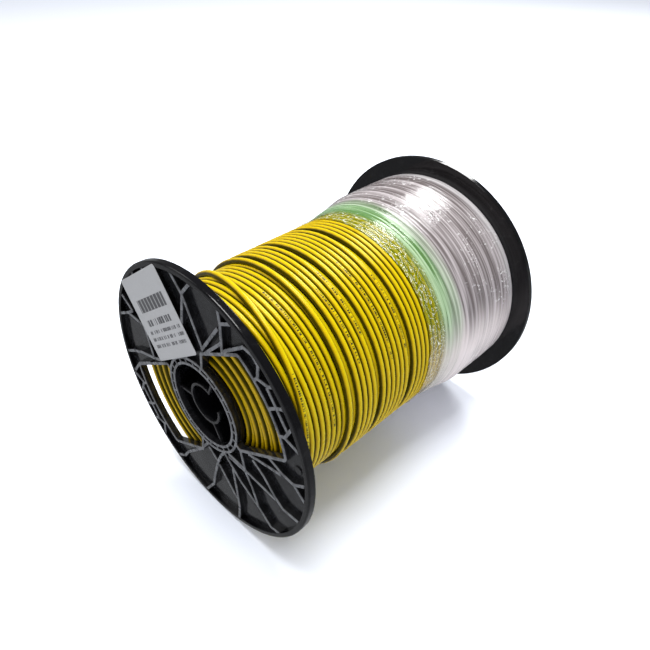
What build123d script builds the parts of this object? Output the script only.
from build123d import *
import os
from math import cos, radians, sin

# A plastic spool of insulated wire. The arbor bore runs along Y, with the labelled flange at -Y and
# the half wrapped in film at +Y. The spool lies on the rims of its flanges, +Z up. Millimetres.

# Driving dimensions
flange_r = 82.5  # a 6.5 in flange
spool_width = 197.0  # over the two flange faces
flange_depth = 4.1  # from the winding side to the tops of the ribs
plate = 1.3  # the web of the flange, on the winding side
rib = 1.7  # width of a rib
rim_width = 2.9
rim_round = 1.0

hub_inner_r = 24.8
hub_outer_r = 29.7
hub_wall = 1.5
spigot_length = 8.0
hub_cells = 26  # cross ribs between the two hub rings
cell_rib = 0.9

drum_r = 29.4
drum_bore_r = 26.35

bore_r = 11.1  # a 7/8 in arbor
core_wall = 1.6
core_recess = 2.0  # how far the core stands back from the flange faces
core_web = 1.4
core_web_angles = (66, 187, 297)
core_gap = (8, 66)  # the arc, in degrees, where the split tube is open

wire_d = 3.75
layer_rise = 3.63
full_layers = 9
end_gap = 0.1  # between the winding and the flanges
top_layer_start = -66.0  # Y where the tenth layer starts
top_layer_sink = 0.75  # how far the tenth layer nests into the ninth
build_up_start = 26.0
build_up_full = 54.0
build_up = 6.2  # height of the extra layers at the far end
film_start = 12.5
film = 0.6

label_side = 49.5
label_thickness = 0.2
label_centre = (-31.5, 43.0)
label_turn = 35.5

# Sizes worked out from them
half_width = spool_width / 2
inner_y = half_width - flange_depth
winding_y = inner_y - end_gap
rib_depth = flange_depth - plate
field_r = flange_r - rim_width
first_layer_r = drum_r + 0.05 + wire_d / 2
winding_side = Plane.XZ.offset(inner_y)  # the near flange's inner face, whose normal points along -Y
rib_root = winding_side.offset(plate)

# The window: its corners and its outer arc, in parts of the flange radius. The other window is the
# same one turned half round.
window_outer_r = 0.815 * flange_r
window_corners = [(0.085, 0.475), (0.70, 0.829), (1.0, 0.275), (0.375, -0.115), (0.3, -0.07), (0.065, 0.33)]
window_round = 2.2
window_inner_round = 0.8

# The net of ribs, each as its points in parts of the flange radius. The ladder lies outside a window
# and repeats, turned half round, outside the other.
ladder = [
    [(0.57, 0.59), (0.605, 0.63), (0.62, 0.75)],
    [(0.605, 0.625), (0.69, 0.625), (0.735, 0.65)],
    [(0.67, 0.45), (0.74, 0.505), (0.82, 0.55)],
    [(0.68, 0.61), (0.83, 0.39)],
    [(0.75, 0.305), (0.81, 0.335), (0.87, 0.45)],
    [(0.81, 0.33), (0.93, 0.29)],
]
upper_net = [
    [(0.10, 0.50), (0.08, 0.43), (0.07, 0.35)],
    [(0.10, 0.53), (-0.04, 0.85), (-0.14, 0.96)],
    [(-0.04, 0.86), (0.05, 0.96)],
    [(-0.04, 0.84), (-0.09, 0.63), (-0.14, 0.45), (-0.10, 0.34)],
    [(0.09, 0.52), (0.28, 0.78)],
    [(0.12, 0.51), (0.31, 0.70)],
    [(0.30, 0.93), (0.31, 0.83), (0.30, 0.60)],
    [(0.31, 0.83), (0.43, 0.89)],
    [(0.30, 0.63), (0.50, 0.78), (0.57, 0.77), (0.62, 0.72)],
    [(-0.20, 0.30), (-0.30, 0.46), (-0.52, 0.62), (-0.62, 0.74)],
    [(-0.30, 0.46), (-0.24, 0.70), (-0.34, 0.90)],
    [(-0.52, 0.62), (-0.44, 0.78), (-0.47, 0.84)],
]
right_net = [
    [(0.66, 0.045), (0.77, 0.0), (0.87, -0.01), (0.96, 0.055)],
    [(0.87, -0.01), (0.96, -0.09)],
    [(0.46, -0.09), (0.76, -0.02)],
    [(0.50, -0.11), (0.60, -0.18), (0.70, -0.29), (0.77, -0.34), (0.92, -0.33)],
    [(0.42, -0.29), (0.70, -0.31)],
    [(0.38, -0.13), (0.41, -0.29)],
    [(0.24, -0.27), (0.41, -0.28)],
    [(0.24, -0.30), (0.41, -0.30)],
]
lower_net = [
    [(0.20, -0.31), (0.35, -0.46), (0.52, -0.56), (0.64, -0.66), (0.74, -0.64)],
    [(0.41, -0.30), (0.47, -0.41), (0.52, -0.56)],
    [(0.27, -0.40), (0.29, -0.60), (0.30, -0.78), (0.28, -0.93)],
    [(0.11, -0.49), (0.28, -0.70)],
    [(0.20, -0.30), (0.15, -0.36), (0.10, -0.47), (0.03, -0.68), (0.0, -0.80), (-0.11, -0.96)],
    [(0.0, -0.36), (-0.10, -0.50), (-0.20, -0.60), (-0.30, -0.70), (-0.36, -0.79), (-0.46, -0.86)],
    [(0.01, -0.39), (0.10, -0.47)],
]
left_net = [
    [(-0.45, 0.11), (-0.55, 0.07), (-0.72, 0.02), (-0.85, -0.04), (-0.95, -0.10)],
    [(-0.55, 0.08), (-0.60, 0.32), (-0.52, 0.62)],
    [(-0.60, 0.32), (-0.80, 0.33), (-0.93, 0.26)],
    [(-0.73, 0.38), (-0.80, 0.33)],
    [(-0.73, 0.38), (-0.84, 0.46)],
    [(-0.62, -0.02), (-0.80, -0.13), (-0.91, -0.27)],
]
moulding_marks = [(-0.12, 0.87), (0.20, -0.72), (0.46, -0.66), (0.72, -0.42), (0.88, 0.10)]
mark_r = 2.4
mark_height = 0.5


def on_flange(points):
    """Points given in parts of the flange radius, in millimetres."""
    return [(flange_r * x, flange_r * z) for x, z in points]


def half_turned(lines):
    """The same lines, turned half round the spool's axis."""
    return [[(-x, -z) for x, z in line] for line in lines]


# The near flange: a plate with a rim, two hub rings with cross ribs between them, walls round the
# windows, a net of ribs, a few moulding marks and a spigot that holds the drum.
with BuildSketch(winding_side) as windows:
    with BuildLine():
        Polyline(*on_flange(window_corners), close=True)
    make_face()
    Circle(window_outer_r, mode=Mode.INTERSECT)
    Circle(hub_outer_r, mode=Mode.SUBTRACT)
    fillet(windows.vertices().sort_by_distance((0, 0))[-2:], radius=window_round)
    fillet(windows.vertices().sort_by_distance((0, 0))[:4], radius=window_inner_round)
    add(windows.sketch_local.rotate(Axis.Z, 180))

with BuildPart() as front_flange:
    with BuildSketch(winding_side):
        Circle(flange_r)
    extrude(amount=plate)
    with BuildSketch(rib_root):
        Circle(flange_r)
        Circle(field_r, mode=Mode.SUBTRACT)
        Circle(hub_outer_r)
        Circle(hub_inner_r, mode=Mode.SUBTRACT)
        offset(windows.sketch_local, amount=rib, mode=Mode.ADD)
        for line in ladder + half_turned(ladder) + upper_net + right_net + lower_net + left_net:
            with BuildLine():
                Polyline(*on_flange(line))
            trace(line_width=rib)
    extrude(amount=rib_depth)
    with BuildSketch(rib_root):
        Circle(hub_outer_r - hub_wall)
        Circle(hub_inner_r + hub_wall, mode=Mode.SUBTRACT)
        with PolarLocations((hub_inner_r + hub_outer_r) / 2, hub_cells):
            Rectangle(hub_outer_r - hub_inner_r, cell_rib, mode=Mode.SUBTRACT)
    extrude(amount=rib_depth, mode=Mode.SUBTRACT)
    with BuildSketch(winding_side):
        add(windows.sketch_local)
    extrude(amount=flange_depth, mode=Mode.SUBTRACT)
    with BuildSketch(rib_root):
        with Locations(*on_flange(moulding_marks)):
            Circle(mark_r)
    extrude(amount=mark_height)
    with BuildSketch(winding_side):
        Circle(hub_inner_r)
    extrude(amount=flange_depth, mode=Mode.SUBTRACT)
    with BuildSketch(winding_side):
        Circle(hub_inner_r + hub_wall)
        Circle(hub_inner_r, mode=Mode.SUBTRACT)
    extrude(amount=-spigot_length)
    with BuildSketch(Plane.XY) as rim_corner:
        with Locations((flange_r, -half_width)):
            Rectangle(2 * rim_round, 2 * rim_round)
        with Locations((flange_r - rim_round, rim_round - half_width)):
            Circle(rim_round, mode=Mode.SUBTRACT)
            Rectangle(2 * rim_round, 2 * rim_round, align=(Align.MAX, Align.CENTER), mode=Mode.SUBTRACT)
            Rectangle(4 * rim_round, 2 * rim_round, align=(Align.CENTER, Align.MIN), mode=Mode.SUBTRACT)
    revolve(axis=Axis.Y, mode=Mode.SUBTRACT)
front_flange.part.label = "front_flange"

# The far flange: the same moulding, turned half round the vertical.
with BuildPart() as rear_flange:
    add(front_flange.part.rotate(Axis.Z, 180))
rear_flange.part.label = "rear_flange"

# The drum: a tube between the flanges, pushed over their spigots.
with BuildPart() as drum_tube:
    with BuildSketch(Plane.XZ):
        Circle(drum_r)
        Circle(drum_bore_r, mode=Mode.SUBTRACT)
    extrude(amount=inner_y, both=True)
drum_tube.part.label = "drum_tube"

# The arbor core: a thin tube, split along one side, on three webs that end on the hub's inner ring.
core_r = bore_r + core_wall
gap_start, gap_end = core_gap
with BuildPart() as arbor_core:
    with BuildSketch(Plane.XZ):
        Circle(core_r)
        with BuildLine():
            Polyline(
                (0, 0),
                (2 * core_r * cos(radians(gap_start)), 2 * core_r * sin(radians(gap_start))),
                (2 * core_r * cos(radians(gap_end)), 2 * core_r * sin(radians(gap_end))),
                close=True,
            )
        make_face(mode=Mode.SUBTRACT)
        for angle in core_web_angles:
            with Locations(Rotation(0, 0, angle)):
                Rectangle(hub_inner_r + 1, core_web, align=(Align.MIN, Align.CENTER))
        Circle(bore_r, mode=Mode.SUBTRACT)
        Circle(hub_inner_r, mode=Mode.INTERSECT)
    extrude(amount=half_width - core_recess, both=True)
arbor_core.part.label = "arbor_core"

# The wire, as the outer shape of its layers: eight full ones that the ninth hides, the ninth, and the
# tenth, which starts a little way in from the near flange.
ninth_layer_r = first_layer_r + (full_layers - 1) * layer_rise
hidden_layers_r = ninth_layer_r - layer_rise + wire_d / 2
ninth_r = ninth_layer_r + wire_d / 2
tenth_r = ninth_r + layer_rise - top_layer_sink
with BuildPart() as wire_hidden_layers:
    with BuildSketch(Plane.XZ):
        Circle(hidden_layers_r)
        Circle(drum_r + 0.02, mode=Mode.SUBTRACT)
    extrude(amount=winding_y, both=True)
wire_hidden_layers.part.label = "wire_hidden_layers"

with BuildPart() as wire_ninth_layer:
    with BuildSketch(Plane.XZ):
        Circle(ninth_r)
        Circle(hidden_layers_r + 0.02, mode=Mode.SUBTRACT)
    extrude(amount=winding_y, both=True)
wire_ninth_layer.part.label = "wire_ninth_layer"

with BuildPart() as wire_tenth_layer:
    with BuildSketch(Plane.XZ.offset(-winding_y)):
        Circle(tenth_r)
        Circle(ninth_r + 0.02, mode=Mode.SUBTRACT)
    extrude(amount=winding_y - top_layer_start)
wire_tenth_layer.part.label = "wire_tenth_layer"

# The extra layers at the far end, which rise from the tenth in a ramp.
with BuildPart() as wire_end_layers:
    with BuildSketch(Plane.XY):
        with BuildLine():
            Polyline(
                (tenth_r + 0.02, build_up_start),
                (tenth_r + build_up, build_up_full),
                (tenth_r + build_up, winding_y),
                (tenth_r + 0.02, winding_y),
                close=True,
            )
        make_face()
    revolve(axis=Axis.Y)
wire_end_layers.part.label = "wire_end_layers"

# The stretch film: a skin over the far half of the winding.
film_r = tenth_r + 0.04
with BuildPart() as stretch_film:
    with BuildSketch(Plane.XY):
        with BuildLine():
            Polyline(
                (film_r, film_start),
                (film_r, build_up_start),
                (film_r + build_up, build_up_full),
                (film_r + build_up, winding_y),
                (film_r + build_up + film, winding_y),
                (film_r + build_up + film, build_up_full),
                (film_r + film, build_up_start),
                (film_r + film, film_start),
                close=True,
            )
        make_face()
    revolve(axis=Axis.Y)
stretch_film.part.label = "stretch_film"

# The label, on the tops of the near flange's ribs.
with BuildPart() as label:
    with BuildSketch(Plane.XZ.offset(half_width)):
        with Locations(Location(label_centre, label_turn)):
            RectangleRounded(label_side, label_side, 1.5)
    extrude(amount=label_thickness)
label.part.label = "label"

os.makedirs("parts", exist_ok=True)
for piece in (
    front_flange,
    rear_flange,
    drum_tube,
    arbor_core,
    wire_hidden_layers,
    wire_ninth_layer,
    wire_tenth_layer,
    wire_end_layers,
    stretch_film,
    label,
):
    export_step(piece.part, f"parts/{piece.part.label}.step")
